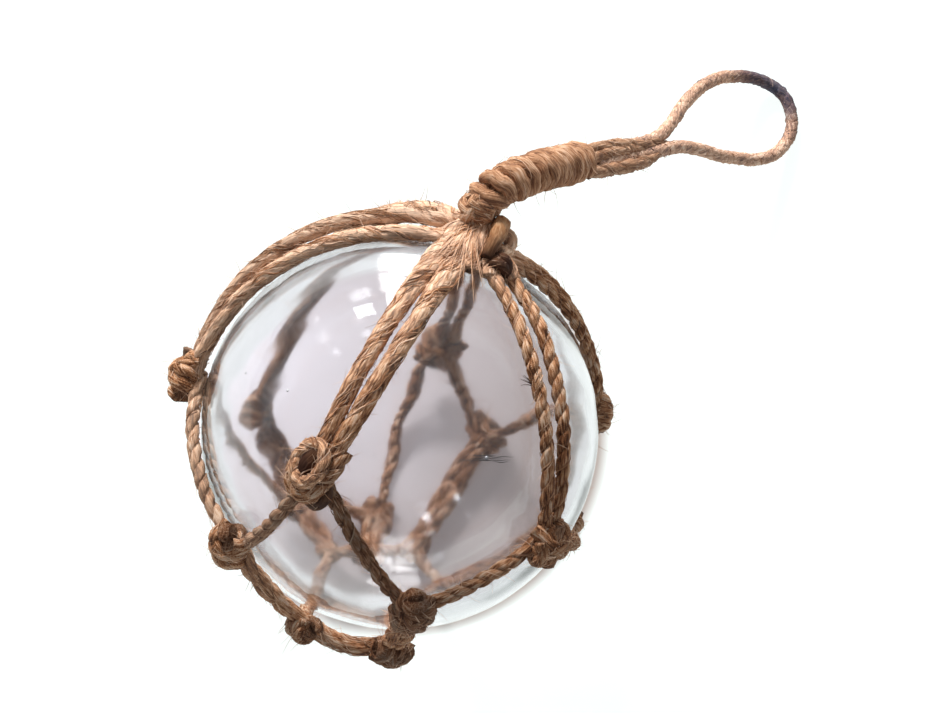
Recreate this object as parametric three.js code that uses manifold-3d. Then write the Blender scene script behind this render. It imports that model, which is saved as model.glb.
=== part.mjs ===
// Glass float ball in a knotted jute net. The float lies on its side on the plane z = 0, with its
// wrapped neck flopped over and the hanging loop lying down on that plane.
// Millimetres, +Z up. +X is the side that the crown of the net points to.
import * as THREE from 'three';
import { mergeVertices } from 'three/addons/utils/BufferGeometryUtils.js';
import Module from 'manifold-3d';

const wasm = await Module();
wasm.setup();

// Driving dimensions
const ballRadius = 50;
const restHeight = 53.1; // ball centre above the plane that the float lies on
const crownLift = 32; // degrees that the net's axis points above the horizontal
const twine = 3.4; // net twine diameter
const clearance = 0.3; // gap between neighbouring solids
const pairSpacing = 3.8; // centre to centre of two twines that lie side by side
const tieSpacing = 3.1; // the same where the pair is pressed together, above the ring
const cordHeight = clearance + twine / 2; // twine centre above the glass
const knotRoomBelow = 3.4; // how far short of a knot's middle a twine stops inside it
const loopTwine = 3.4;

// The gathered crown of the net, the ball knot on it and the wrapped neck
const crownRadius = 9;
const crownRise = 6.8;
const neckKnotCentre = [50.7, 1.5, 34.5]; // about the ball's centre, as the two routes below
const neckKnotSize = 8.6;
const neckRadius = 5.2;
const neckTurns = 11;

// Places on the ball are [longitude, latitude] in degrees about the net's axis: latitude 90 is the
// crown, longitude 0 is the meridian on top of the ball, and +90 is the -Y side. A bow swings a
// twine's middle sideways, towards higher longitudes, and a rise lifts it off the glass.

// Upper knots, and the pair of twines that comes to each from the crown: the longitude at which it
// leaves, its bow, how high it rides at the crown, and how far its second twine lies on the first
const upperKnots = [
  { place: [-79, -6], across: 10.5, along: 13.5, thick: 8.4, turn: 10, rise: 0.8 },
  { place: [-8, 0], across: 12, along: 14.5, thick: 8, turn: -12 },
  { place: [61, -2.5], across: 12, along: 12, thick: 7.6, turn: 14 },
  { place: [123, 18], across: 10, along: 11, thick: 6.6, turn: -6 },
  { place: [-175, 9.5], across: 13, along: 13, thick: 8, turn: 8 },
  { place: [-119, -21], across: 9.5, along: 11, thick: 7.6, turn: -10 },
];
const crownPairs = [
  { leaves: -76, bow: 0, ride: 0.4, stack: 2, spacing: 3.2 },
  { leaves: -12, bow: 0.6, ride: 0, stack: 0, spacing: 4.2 },
  { leaves: 45, bow: -3, ride: 0, stack: 0, spacing: 4.2 },
  { leaves: 104, bow: 0, ride: 0, stack: 0.8, spacing: 3.8 },
  { leaves: -176, bow: 0, ride: 0, stack: 0, spacing: 3.8 },
  { leaves: -116, bow: -4.4, ride: 4, stack: 0.8, spacing: 3.8 },
];
// Each lower knot gathers the twines of the upper knots on both sides of it
const lowerKnots = [
  { place: [-33.5, -37], across: 11, along: 14, thick: 8, turn: -24, bows: [0, -2.5] },
  { place: [31, -30], across: 11.5, along: 11.5, thick: 8, turn: 12, bows: [0, 0.6] },
  { place: [117, -14.5], across: 10, along: 10.5, thick: 7, turn: 0, bows: [0, 0] },
  { place: [162, -9.5], across: 14, along: 10.5, thick: 9.2, turn: 18, bows: [-2.5, 0] },
  { place: [-175, -47.5], across: 11, along: 9.5, thick: 6.6, turn: -8, bows: [-3, -3.6] },
  { place: [-137, -49], across: 10, along: 10, thick: 7.4, turn: 10, bows: [-0.5, 2] },
];
// Knots on the ring under the ball, with the bow and rise of the cord to the next one
const ringKnots = [
  { place: [-3, -62.5], across: 8.5, along: 10.5, thick: 7, rise: 1.4, bow: 0, cordRise: 3.2 },
  { place: [46.5, -59.5], across: 8.5, along: 12, thick: 7.4, rise: 1.4, bow: 4, cordRise: 1 },
  { place: [124, -54.5], across: 7.5, along: 8.5, thick: 7, bow: 0, cordRise: 0 },
  { place: [161, -50.5], across: 7.5, along: 8.5, thick: 6.6, bow: 0, cordRise: 0 },
  { place: [179, -60], across: 7, along: 7.5, thick: 6.6, bow: 0, cordRise: 0 },
  { place: [-155, -64.5], across: 7.5, along: 8.5, thick: 7, bow: 0, cordRise: 0 },
];

// Wrapped neck: on along the net's axis from the ball knot, then bending down and aside
const neckRoute = [
  [52.6, 1, 33.1], [57.2, -1.2, 35.5], [62.2, -4.7, 34.1], [67.8, -8.3, 29.6],
  [73.6, -11.8, 23.4], [79.8, -15.5, 16],
];
// Hanging loop: out of the neck, round the eye lying on the plane and back beside itself
const loopRoute = [
  [82.4, -14.7, 14], [87.8, -18.1, 8], [93.9, -22.2, 0.8], [99.8, -25.9, -6],
  [106, -28.2, -11.8], [112.6, -28.9, -16.8], [119.6, -29.3, -21.6], [126.6, -30.2, -26.8],
  [132.8, -31.8, -32], [138.2, -34.2, -37.4], [142.9, -37.7, -42.6], [146.3, -41.7, -46.8],
  [147.7, -46, -49.7], [147.3, -50.4, -51], [145.1, -54, -51.4], [141.6, -56.5, -51.4],
  [137.5, -57.9, -51], [133, -57.9, -49.8], [128.5, -56.9, -47.8], [124.2, -54.6, -44.8],
  [120.4, -51.2, -40.6], [116.8, -47, -35.4], [113.4, -42.6, -29.6], [110.6, -38.4, -24],
  [107.4, -34.6, -18.4], [103.2, -31.6, -12.6], [98.2, -28.8, -6.6], [92.8, -25.6, -0.4],
  [86.8, -21.9, 6.6], [80.9, -18.3, 13],
];
const trimSlab = { width: 420, depth: 20 };
const crownEdgeLatitude = 81; // where the twines come out from under the crown

const glass = new THREE.MeshStandardMaterial({
  color: 0xdfe5e4, roughness: 0.04, metalness: 0, transparent: true, opacity: 0.35,
});
const jute = new THREE.MeshStandardMaterial({ color: 0xa0764f, roughness: 0.92, metalness: 0 });
const darkJute = new THREE.MeshStandardMaterial({ color: 0x7a5236, roughness: 0.95, metalness: 0 });

const toRadians = THREE.MathUtils.degToRad;
const netAxis = new THREE.Vector3(Math.cos(toRadians(crownLift)), 0, Math.sin(toRadians(crownLift)));
const topSide = new THREE.Vector3(-Math.sin(toRadians(crownLift)), 0, Math.cos(toRadians(crownLift)));
const rightSide = new THREE.Vector3(0, -1, 0);

function direction([longitude, latitude]) {
  const around = toRadians(longitude);
  const up = toRadians(latitude);
  return new THREE.Vector3()
    .addScaledVector(netAxis, Math.sin(up))
    .addScaledVector(topSide, Math.cos(up) * Math.cos(around))
    .addScaledVector(rightSide, Math.cos(up) * Math.sin(around));
}

// Manifold solid of a closed three.js geometry, and back
function toSolid(geometry) {
  const bare = geometry.clone();
  bare.deleteAttribute('normal');
  bare.deleteAttribute('uv');
  const merged = mergeVertices(bare, 1e-4);
  return new wasm.Manifold(new wasm.Mesh({
    numProp: 3,
    vertProperties: new Float32Array(merged.attributes.position.array),
    triVerts: new Uint32Array(merged.index.array),
  }));
}

function toGeometry(solid) {
  const mesh = solid.getMesh();
  const geometry = new THREE.BufferGeometry();
  geometry.setAttribute('position', new THREE.BufferAttribute(new Float32Array(mesh.vertProperties), 3));
  geometry.setIndex(new THREE.BufferAttribute(new Uint32Array(mesh.triVerts), 1));
  geometry.computeVertexNormals();
  return geometry;
}

function largestPart(solid) {
  const parts = solid.decompose();
  return parts.reduce((best, part) => (part.volume() > best.volume() ? part : best));
}

// What would reach below the plane gets a small flat there
const belowPlane = new THREE.BoxGeometry(trimSlab.width, trimSlab.width, trimSlab.depth);
belowPlane.translate(0, 0, -restHeight - trimSlab.depth / 2);
const belowPlaneSolid = toSolid(belowPlane);

function restOnPlane(solid) {
  return largestPart(solid.subtract(belowPlaneSolid));
}

// A knot is a short barrel of round turns, flattened towards the glass.
// Its own axes: X across, Y along the twine that runs into it, Z away from the glass.
const barrel = (height) => (1 - Math.abs(height) ** 2.6) ** (1 / 2.4);

function knotShape({ across, along, thick }) {
  const turns = 3;
  const profile = [new THREE.Vector2(0, -0.5)];
  for (let turn = 0; turn < turns; turn += 1) {
    for (const part of [0.25, 0.75]) {
      const height = (2 * (turn + part)) / turns - 1;
      profile.push(new THREE.Vector2(0.5 * barrel(height), height / 2));
    }
    if (turn < turns - 1) {
      const groove = (2 * (turn + 1)) / turns - 1;
      profile.push(new THREE.Vector2(0.42 * barrel(groove), groove / 2));
    }
  }
  profile.push(new THREE.Vector2(0, 0.5));
  return new THREE.LatheGeometry(profile, 8).scale(across, along, thick);
}

// The smooth room that neighbours of a knot are cut back to: the barrel without its grooves
function roomShape({ across, along, thick }) {
  const profile = [new THREE.Vector2(0, -0.5)];
  for (const height of [-0.84, -0.4, 0.4, 0.84]) {
    profile.push(new THREE.Vector2(0.52 * barrel(height), height / 2));
  }
  profile.push(new THREE.Vector2(0, 0.5));
  return new THREE.LatheGeometry(profile, 8)
    .scale(across + 2 * clearance, along + 2 * clearance, thick + 2 * clearance);
}

// Turns a shape so that its Y runs along the given heading and its Z points out of the ball
function standOnBall(shape, outward, heading, lift, turn = 0) {
  const along = heading.clone().projectOnPlane(outward).normalize();
  along.applyAxisAngle(outward, toRadians(turn));
  const across = new THREE.Vector3().crossVectors(along, outward);
  const placing = new THREE.Matrix4().makeBasis(across, along, outward);
  placing.setPosition(outward.clone().multiplyScalar(ballRadius + lift));
  return shape.applyMatrix4(placing);
}

// One knot: its solid, and the slightly larger room that twine is cut back to
function makeKnot(size, heading) {
  const outward = direction(size.place);
  const lift = clearance + (size.rise ?? 0) + size.thick / 2;
  return {
    place: size.place,
    rise: size.rise ?? 0,
    solid: toSolid(standOnBall(knotShape(size), outward, heading, lift, size.turn)),
    room: toSolid(standOnBall(roomShape(size), outward, heading, lift, size.turn)),
  };
}

// The value at t of a quadratic through a start, a middle and an end value
function sweep([start, middle, end], t) {
  return start * (1 - t) + end * t + 4 * t * (1 - t) * (middle - (start + end) / 2);
}

// A line over the ball from one place to another. Shifts swing it sideways at its start, middle and
// end (positive to the left of travel, seen from outside), and rises lift it off the glass.
function lineOverBall(from, to, shifts, rises = [0, 0, 0], spots = 7) {
  const first = direction(from);
  const last = direction(to);
  const angle = first.angleTo(last);
  const left = new THREE.Vector3().crossVectors(first, last).normalize();
  const radius = ballRadius + cordHeight;
  const points = [];
  for (let spot = 0; spot < spots; spot += 1) {
    const t = spot / (spots - 1);
    points.push(new THREE.Vector3()
      .addScaledVector(first, Math.sin((1 - t) * angle) / Math.sin(angle))
      .addScaledVector(last, Math.sin(t * angle) / Math.sin(angle))
      .multiplyScalar(radius)
      .addScaledVector(left, sweep(shifts, t))
      .setLength(radius + sweep(rises, t)));
  }
  return new THREE.CatmullRomCurve3(points);
}

function twineAlong(path, steps, sides = 6, diameter = twine) {
  const corners = [];
  for (let side = 0; side < sides; side += 1) {
    const angle = (2 * Math.PI * side) / sides;
    corners.push(new THREE.Vector2(Math.cos(angle), Math.sin(angle)).multiplyScalar(diameter / 2));
  }
  return new THREE.ExtrudeGeometry(new THREE.Shape(corners), {
    steps, extrudePath: path, bevelEnabled: false,
  });
}

// Stops short of a place: the point a few millimetres before it, so that twines don't meet inside
function shortOf(from, to, gap) {
  const a = direction(from);
  const b = direction(to);
  const angle = a.angleTo(b);
  const back = gap / (ballRadius + cordHeight);
  const spot = a.multiplyScalar(Math.sin(back) / Math.sin(angle))
    .addScaledVector(b, Math.sin(angle - back) / Math.sin(angle));
  const latitude = THREE.MathUtils.radToDeg(Math.asin(spot.dot(netAxis)));
  const longitude = THREE.MathUtils.radToDeg(Math.atan2(spot.dot(rightSide), spot.dot(topSide)));
  return [longitude, latitude];
}

function cutTwine(path, steps, rooms) {
  let solid = toSolid(twineAlong(path, steps));
  for (const room of rooms) solid = solid.subtract(room);
  return solid.simplify(0.04);
}

const group = new THREE.Group();
const floatGroup = new THREE.Group(); // about the ball's centre
group.add(floatGroup);

function addPiece(name, geometry, material) {
  const piece = new THREE.Mesh(geometry, material);
  piece.name = name;
  floatGroup.add(piece);
  return piece;
}

function addSolid(name, solid, material = jute) {
  addPiece(name, toGeometry(restOnPlane(solid)), material);
}

// Crown: a low dome that all the twines run into, with the ball knot on top
function crownDome(extra) {
  const bottomRadius = ballRadius + clearance - extra;
  const rim = crownRadius + extra;
  const rimAngle = Math.asin(rim / bottomRadius);
  const profile = [];
  const bottomSteps = 3;
  for (let step = 0; step <= bottomSteps; step += 1) {
    const angle = (rimAngle * step) / bottomSteps;
    profile.push(new THREE.Vector2(bottomRadius * Math.sin(angle), bottomRadius * Math.cos(angle)));
  }
  const top = ballRadius + crownRise + extra;
  for (const [width, height] of [[1, 0.35], [0.86, 0.66], [0.6, 0.9], [0.36, 1]]) {
    const shoulder = bottomRadius * Math.cos(rimAngle);
    profile.push(new THREE.Vector2(rim * width, shoulder + (top - shoulder) * height));
  }
  profile.push(new THREE.Vector2(0, top));
  const dome = new THREE.LatheGeometry(profile, 14);
  const placing = new THREE.Matrix4().makeBasis(topSide, netAxis, rightSide.clone().negate());
  return dome.applyMatrix4(placing);
}

// Bends a shape that stands on its own Y axis so that it follows a curve
function bendAlong(shape, path, length) {
  const frames = 60;
  const { tangents, normals, binormals } = path.computeFrenetFrames(frames, false);
  const position = shape.attributes.position;
  const vertex = new THREE.Vector3();
  for (let index = 0; index < position.count; index += 1) {
    vertex.fromBufferAttribute(position, index);
    const t = THREE.MathUtils.clamp(vertex.y / length, 0, 1);
    const frame = Math.round(t * frames);
    const spot = path.getPointAt(t)
      .addScaledVector(binormals[frame], vertex.x)
      .addScaledVector(normals[frame], vertex.z)
      .addScaledVector(tangents[frame], vertex.y - t * length);
    position.setXYZ(index, spot.x, spot.y, spot.z);
  }
  return shape;
}

// The neck: turns of twine wound tightly round the gathered cords
function neckWrapping(path) {
  const length = path.getLength();
  const pitch = length / neckTurns;
  const swell = (turn) => 0.96 + 0.07 * Math.cos((2 * Math.PI * turn) / (neckTurns - 1)); // fuller at both ends
  const profile = [new THREE.Vector2(0, 0)];
  for (let turn = 0; turn < neckTurns; turn += 1) {
    const radius = neckRadius * swell(turn);
    if (turn > 0) profile.push(new THREE.Vector2(radius * 0.88, turn * pitch));
    profile.push(new THREE.Vector2(radius, (turn + 0.28) * pitch));
    profile.push(new THREE.Vector2(radius, (turn + 0.72) * pitch));
  }
  profile.push(new THREE.Vector2(0, length));
  return bendAlong(new THREE.LatheGeometry(profile, 9), path, length);
}

function curveThrough(route) {
  return new THREE.CatmullRomCurve3(route.map((point) => new THREE.Vector3(...point)));
}

addPiece('glass_ball', new THREE.SphereGeometry(ballRadius, 28, 16), glass);

const crownRoom = toSolid(crownDome(clearance));
addSolid('crown_gather', toSolid(crownDome(0)), jute);

const neckKnot = { across: neckKnotSize, along: neckKnotSize, thick: neckKnotSize };
const neckOutward = new THREE.Vector3(...neckKnotCentre);
const neckLift = neckOutward.length() - ballRadius;
neckOutward.normalize();
addSolid('neck_ball_knot', toSolid(standOnBall(knotShape(neckKnot), neckOutward, rightSide, neckLift)));
const neckKnotRoom = toSolid(standOnBall(roomShape(neckKnot), neckOutward, rightSide, neckLift));
const neckPath = curveThrough(neckRoute);
addSolid('neck_wrapping', toSolid(neckWrapping(neckPath)).subtract(neckKnotRoom).subtract(crownRoom));
addPiece('hanging_loop', twineAlong(curveThrough(loopRoute), 32, 8, loopTwine), darkJute);

const count = upperKnots.length;
const uppers = upperKnots.map((size) => makeKnot(size, netAxis));
const lowers = lowerKnots.map((size) => makeKnot(size, netAxis));
const rings = ringKnots.map((size, index) => {
  const after = direction(ringKnots[(index + 1) % count].place);
  const before = direction(ringKnots[(index + count - 1) % count].place);
  return makeKnot({ turn: 0, ...size }, after.sub(before));
});

for (let index = 0; index < count; index += 1) {
  const next = (index + 1) % count;
  const number = index + 1;
  const upper = uppers[index];
  const lower = lowers[index];
  const ring = rings[index];
  addSolid(`upper_knot_${number}`, upper.solid);
  addSolid(`lower_knot_${number}`, lower.solid);
  addSolid(`ring_knot_${number}`, ring.solid);

  // Two twines side by side from the crown down to the upper knot
  const pair = crownPairs[index];
  const crownEdge = [pair.leaves, crownEdgeLatitude];
  const upperEdge = shortOf(crownEdge, upper.place, knotRoomBelow);
  for (const [side, label] of [[-1, 'a'], [1, 'b']]) {
    const half = (side * pair.spacing) / 2;
    const stack = side > 0 ? pair.stack : 0;
    const shifts = [half, pair.bow + half * 1.3, (side * pairSpacing) / 2];
    const rises = [pair.ride + stack, pair.ride * 0.3 + stack, upper.rise];
    const path = lineOverBall(crownEdge, upperEdge, shifts, rises);
    addSolid(`crown_twine_${number}${label}`, cutTwine(path, 8, [crownRoom, upper.room]));
  }

  // Each lower knot gathers one twine from each of its two upper knots
  for (const [side, from, label] of [[1, upper, 'left'], [-1, uppers[next], 'right']]) {
    const half = (side * pairSpacing) / 2;
    const start = shortOf(from.place, lower.place, knotRoomBelow);
    const end = shortOf(lower.place, from.place, knotRoomBelow);
    const bow = lowerKnots[index].bows[side > 0 ? 0 : 1];
    const path = lineOverBall(start, end, [half, bow, -half]);
    addSolid(`mesh_twine_${number}_${label}`, cutTwine(path, 6, [from.room, lower.room]));
  }

  // The pair goes on from the lower knot to the ring, pressed together
  const tie = [-1, 1].map((side) => {
    const half = (side * tieSpacing) / 2;
    const start = shortOf(ring.place, lower.place, knotRoomBelow);
    const end = shortOf(lower.place, ring.place, knotRoomBelow);
    const rises = [lower.rise, (lower.rise + ring.rise) / 2, ring.rise];
    const path = lineOverBall(start, end, [half, half, half], rises, 4);
    return cutTwine(path, 3, [lower.room, ring.room]);
  });
  addSolid(`ring_tie_${number}`, tie[0].add(tie[1]).simplify(0.06));

  const { bow, cordRise } = ringKnots[index];
  const ringStart = shortOf(rings[next].place, ring.place, knotRoomBelow);
  const ringEnd = shortOf(ring.place, rings[next].place, knotRoomBelow);
  const path = lineOverBall(ringStart, ringEnd, [0, bow, 0], [ring.rise, cordRise, rings[next].rise], 5);
  addSolid(`ring_cord_${number}`, cutTwine(path, 6, [ring.room, rings[next].room]), darkJute);
}

// The origin is on the plane that the float lies on, under the middle of everything but the loop
const box = new THREE.Box3();
for (const piece of floatGroup.children) {
  if (piece.name !== 'hanging_loop') box.expandByObject(piece);
}
const middle = box.getCenter(new THREE.Vector3());
floatGroup.position.set(-middle.x, -middle.y, restHeight);

export default group;
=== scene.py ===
import math
import random

import bpy
import numpy as np
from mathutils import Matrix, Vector


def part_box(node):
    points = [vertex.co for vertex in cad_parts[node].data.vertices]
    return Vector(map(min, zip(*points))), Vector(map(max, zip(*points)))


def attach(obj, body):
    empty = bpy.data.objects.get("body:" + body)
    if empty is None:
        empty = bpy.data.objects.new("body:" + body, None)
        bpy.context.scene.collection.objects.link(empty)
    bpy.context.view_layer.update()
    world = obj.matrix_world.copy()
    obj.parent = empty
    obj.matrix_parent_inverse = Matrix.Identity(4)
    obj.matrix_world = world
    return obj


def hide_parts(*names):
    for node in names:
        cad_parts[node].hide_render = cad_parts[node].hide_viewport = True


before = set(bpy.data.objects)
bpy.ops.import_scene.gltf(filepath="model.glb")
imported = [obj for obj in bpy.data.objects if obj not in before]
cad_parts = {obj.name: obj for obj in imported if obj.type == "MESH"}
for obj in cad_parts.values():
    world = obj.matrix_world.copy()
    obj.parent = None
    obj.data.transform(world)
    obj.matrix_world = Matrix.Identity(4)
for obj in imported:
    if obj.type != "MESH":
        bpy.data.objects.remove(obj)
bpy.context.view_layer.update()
bpy.ops.object.select_all(action="DESELECT")

ballLow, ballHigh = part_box("glass_ball")
ballCentre = (ballLow + ballHigh) / 2
ballRadius = 50.0
glassGap = 0.3  # between the twine and the glass
up = np.array([0.0, 0.0, 1.0])
anyAngle = (0, 6.28)


def toFrame(points):  # millimetres about the ball's centre to metres in the frame
    return np.asarray(points, float) / 1000 + np.array(ballCentre)


cameraLook = {
    "azimuth": 59.0, "elevation": 75.0, "distance": 600.0, "target": (24.09, -9.52, 4.22),
    "lens": 90.34, "sensor": 36, "clip": (0.01, 20)}


def placeCamera(look):
    turn, lift = math.radians(look["azimuth"]), math.radians(look["elevation"])
    away = np.array([math.sin(turn), math.cos(turn), 0.0])
    seat = toFrame((-away * math.cos(lift) + up * math.sin(lift)) * look["distance"])
    target = toFrame(look["target"])
    bpy.ops.object.camera_add(location=tuple(seat))
    camera = bpy.context.object
    camera.rotation_euler = Vector(target - seat).to_track_quat("-Z", "Y").to_euler()
    camera.data.lens = look["lens"]
    camera.data.sensor_width = look["sensor"]
    camera.data.clip_start, camera.data.clip_end = look["clip"]
    bpy.context.scene.camera = camera


placeCamera(cameraLook)
print("camera is in place")


# Two plies laid round each other, their centres plyOffset from the twine's own. Slack, gaping, swelling
# and drift are waves: their lengths in millimetres along the twine, and how far they go. Bends are the
# lengths of the waves that wander makes.
twine = {
    "diameter": 3.4, "plyOffset": 0.62, "lay": 9.5, "step": 0.5, "sides": 12, "curveSteps": 24,
    "bends": (9.0, 15.0, 23.0), "slack": ((19.0, 31.0), 0.45), "gaping": ((6.0, 11.0), 0.12),
    "swelling": ((3.1, 5.3, 13.0), 0.09), "ridges": ((2, 0.035), (4, 0.03), (5, 0.035)),
    "drift": ((2.3, 4.1, 9.0), 1.6), "fibreTurn": 1.35, "plyPress": 0.65, "plyWidth": 1.16,
    "flareAt": (0, 0.45, 1), "groove": (0.45, 0.5), "grainShift": 40}
looseFibre = {
    "length": (8, 22), "wander": ((7.0, 12.0), 0.5), "lift": 0.94, "radius": (0.09, 0.2), "palest": 0.9}
hair = {
    "perMillimetre": 2.2, "length": 1.8, "longest": 3.2, "radius": 0.075, "parts": 3, "root": 0.85,
    "curl": 0.7, "soilAndShade": 0.2}
frayedEnd = {"spread": 0.28, "parts": 5, "radius": 0.17, "soilAndShade": 1.4}


def unit(vector):
    return vector / np.linalg.norm(vector)


def smoothRoute(points, step):
    points = np.asarray(points, float)
    before = np.vstack([2 * points[0] - points[1], points, 2 * points[-1] - points[-2]])
    fine = []
    for index in range(1, len(before) - 2):
        a, b, c, d = before[index - 1:index + 3]
        for t in np.linspace(0, 1, twine["curveSteps"], endpoint=False):
            fine.append(0.5 * (2 * b + (c - a) * t + (2 * a - 5 * b + 4 * c - d) * t ** 2
                               + (3 * b - a - 3 * c + d) * t ** 3))
    fine.append(before[-2])
    fine = np.array(fine)
    reach = np.concatenate([[0], np.cumsum(np.linalg.norm(np.diff(fine, axis=0), axis=1))])
    count = max(3, int(round(reach[-1] / step)) + 1)
    marks = np.linspace(0, reach[-1], count)
    return np.stack([np.interp(marks, reach, fine[:, k]) for k in range(3)], 1), marks


def carriedFrames(route):  # tangents, and two directions across that turn no more than they must
    tangents = np.gradient(route, axis=0)
    tangents /= np.linalg.norm(tangents, axis=1)[:, None]
    start = np.cross(tangents[0], up)
    if np.linalg.norm(start) < 0.1:
        start = np.cross(tangents[0], [1.0, 0, 0])
    normals = [unit(start)]
    for index in range(1, len(route)):
        normal = normals[-1] - tangents[index] * (normals[-1] @ tangents[index])
        normals.append(unit(normal))
    normals = np.array(normals)
    return tangents, normals, np.cross(tangents, normals)


class Strands:
    # Gathers rings of points into one mesh, with what the finish reads on each point
    def __init__(self, seed):
        self.random = random.Random(seed)
        self.points, self.faces, self.fibres, self.shade = [], [], [], []
        self.count = 0

    def tube(self, rings, fibres, shade):  # rings: parts x sides x 3
        parts, sides = rings.shape[:2]
        index = np.arange(parts * sides).reshape(parts, sides) + self.count
        nextSide = np.roll(index, -1, axis=1)
        quads = np.stack([index[:-1], nextSide[:-1], nextSide[1:], index[1:]], -1).reshape(-1, 4)
        self.faces += quads.tolist()
        self.faces += [index[0][::-1].tolist(), index[-1].tolist()]
        self.points.append(rings.reshape(-1, 3))
        self.fibres.append(fibres.reshape(-1, 3))
        self.shade.append(shade.reshape(-1, 3))
        self.count += parts * sides

    def waves(self, marks, lengths, size):  # smooth irregular change along a strand
        total = np.zeros(len(marks))
        for length in lengths:
            total += np.sin(marks * 2 * math.pi / length + self.random.uniform(*anyAngle)) / len(lengths)
        return total * size

    def twine(self, points, soilAndShade=0.3, diameter=3.4, hairs=1.0, lay=9.5, wander=0.12, paleAndLit=0.0, loose=0.12,
              flare=None, plies=2, snug=1.0):
        route, marks = smoothRoute(points, twine["step"])
        for axis in range(3):
            route[:, axis] += self.waves(marks, twine["bends"], wander)
        tangents, normals, binormals = carriedFrames(route)
        scale = diameter / twine["diameter"]
        apartness = twine["plyOffset"] * snug * scale * (plies - 1)
        turn = 2 * math.pi * marks / (lay * scale) + self.random.uniform(*anyAngle)
        turn += self.waves(marks, *twine["slack"])
        sides = twine["sides"]
        around = np.linspace(0, 2 * math.pi, sides, endpoint=False)
        soilAndShadeAt = soilAndShade(route) if callable(soilAndShade) else np.full(len(marks), float(soilAndShade))
        paleAndLitAt = paleAndLit(route) if callable(paleAndLit) else np.full(len(marks), float(paleAndLit))
        spread = np.ones(len(marks))
        if flare is not None:
            spread = np.interp(marks / marks[-1], twine["flareAt"], flare)
        above = route / np.linalg.norm(route, axis=1)[:, None]
        for ply in range(plies):
            angle = turn + ply * math.pi
            outward = np.cos(angle)[:, None] * normals + np.sin(angle)[:, None] * binormals
            sideways = np.cross(tangents, outward)
            offset = apartness * (1 + self.waves(marks, *twine["gaping"]))
            radius = diameter / 2 - apartness * twine["plyPress"]
            radius = radius * (1 + self.waves(marks, *twine["swelling"]))
            grain = around[None, :] + twine["fibreTurn"] * turn[:, None]  # nearly straight on the outside
            relief = np.zeros_like(grain)
            for ridges, size in twine["ridges"]:
                drift = self.waves(marks, *twine["drift"])
                relief += size * np.cos(ridges * grain + drift[:, None] + self.random.uniform(*anyAngle))
            reach = radius[:, None] * (1 + relief)
            apart = outward[:, None, :] * (offset[:, None] + reach * np.cos(around))[:, :, None] \
                + sideways[:, None, :] * (reach * twine["plyWidth"] * np.sin(around))[:, :, None]
            if flare is not None:  # frayed twine spreads over the glass and flattens
                height = np.sum(apart * above[:, None, :], axis=2)[:, :, None] * above[:, None, :]
                lower = 1.15 - 0.15 * spread
                apart = (apart - height) * spread[:, None, None] + height * lower[:, None, None]
            # painted shade between the plies: the groove value is 0 deep between the plies and 1 on the
            # outside
            deepest, rise = twine["groove"]
            groove = np.clip((np.linalg.norm(apart, axis=2) / (diameter / 2) - deepest) / rise, 0, 1)
            along = marks + twine["grainShift"] * self.random.random()
            along, soiledAndShaded, paledAndLit = (np.repeat(row[:, None], sides, 1) for row in (along, soilAndShadeAt, paleAndLitAt))
            fibres = np.stack([along, radius[:, None] * np.cos(grain), radius[:, None] * np.sin(grain)], -1)
            shade = np.stack([groove, soiledAndShaded, paledAndLit], -1)
            self.tube(route[:, None, :] + apart, fibres, shade)
        for _ in range(int(loose * marks[-1])):
            self.looseStrand(route, normals, binormals, marks, turn, diameter / 2, soilAndShadeAt, spread, above)
        if hairs:
            self.fuzz(route, tangents, normals, binormals, marks, diameter / 2, hairs, soilAndShadeAt)

    def looseStrand(self, route, normals, binormals, marks, turn, radius, soilAndShadeAt, spread, above):
        rolled = self.random
        count = min(len(marks) - 2, int(rolled.uniform(*looseFibre["length"]) / twine["step"]))
        first = rolled.randrange(0, len(marks) - count)
        part = slice(first, first + count, 2)
        angle = turn[part] + rolled.uniform(*anyAngle) + self.waves(marks[part], *looseFibre["wander"])
        share = np.linspace(0, 1, len(angle))
        lift = looseFibre["lift"] + 0.1 * np.sin(share * 9)
        lift = radius * (lift + rolled.uniform(0, 0.22) * np.sin(share * math.pi))
        towards = normals[part] * np.cos(angle)[:, None] + binormals[part] * np.sin(angle)[:, None]
        apart = towards * lift[:, None]
        height = np.sum(apart * above[part], axis=1)[:, None] * above[part]
        line = route[part] + (apart - height) * spread[part][:, None] + height
        size = rolled.uniform(*looseFibre["radius"]) * (0.35 + 0.65 * np.sin(share * math.pi))
        self.thread(line, size, soilAndShadeAt[first], rolled.uniform(0.0, looseFibre["palest"]) ** 2)

    def thread(self, line, size, soilAndShade, paleAndLit, sides=4):
        tangents, normals, binormals = carriedFrames(line)
        around = np.linspace(0, 2 * math.pi, sides, endpoint=False)
        rings = line[:, None, :] + normals[:, None, :] * (np.cos(around) * size[:, None])[:, :, None] \
            + binormals[:, None, :] * (np.sin(around) * size[:, None])[:, :, None]
        fibres = np.zeros_like(rings) + self.random.random() * 9
        fibres[:, :, 0] += np.arange(len(line))[:, None] * 0.4
        shade = np.zeros_like(rings)
        shade[:, :, 0], shade[:, :, 1], shade[:, :, 2] = 1, soilAndShade, paleAndLit
        self.tube(rings, fibres, shade)

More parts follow.
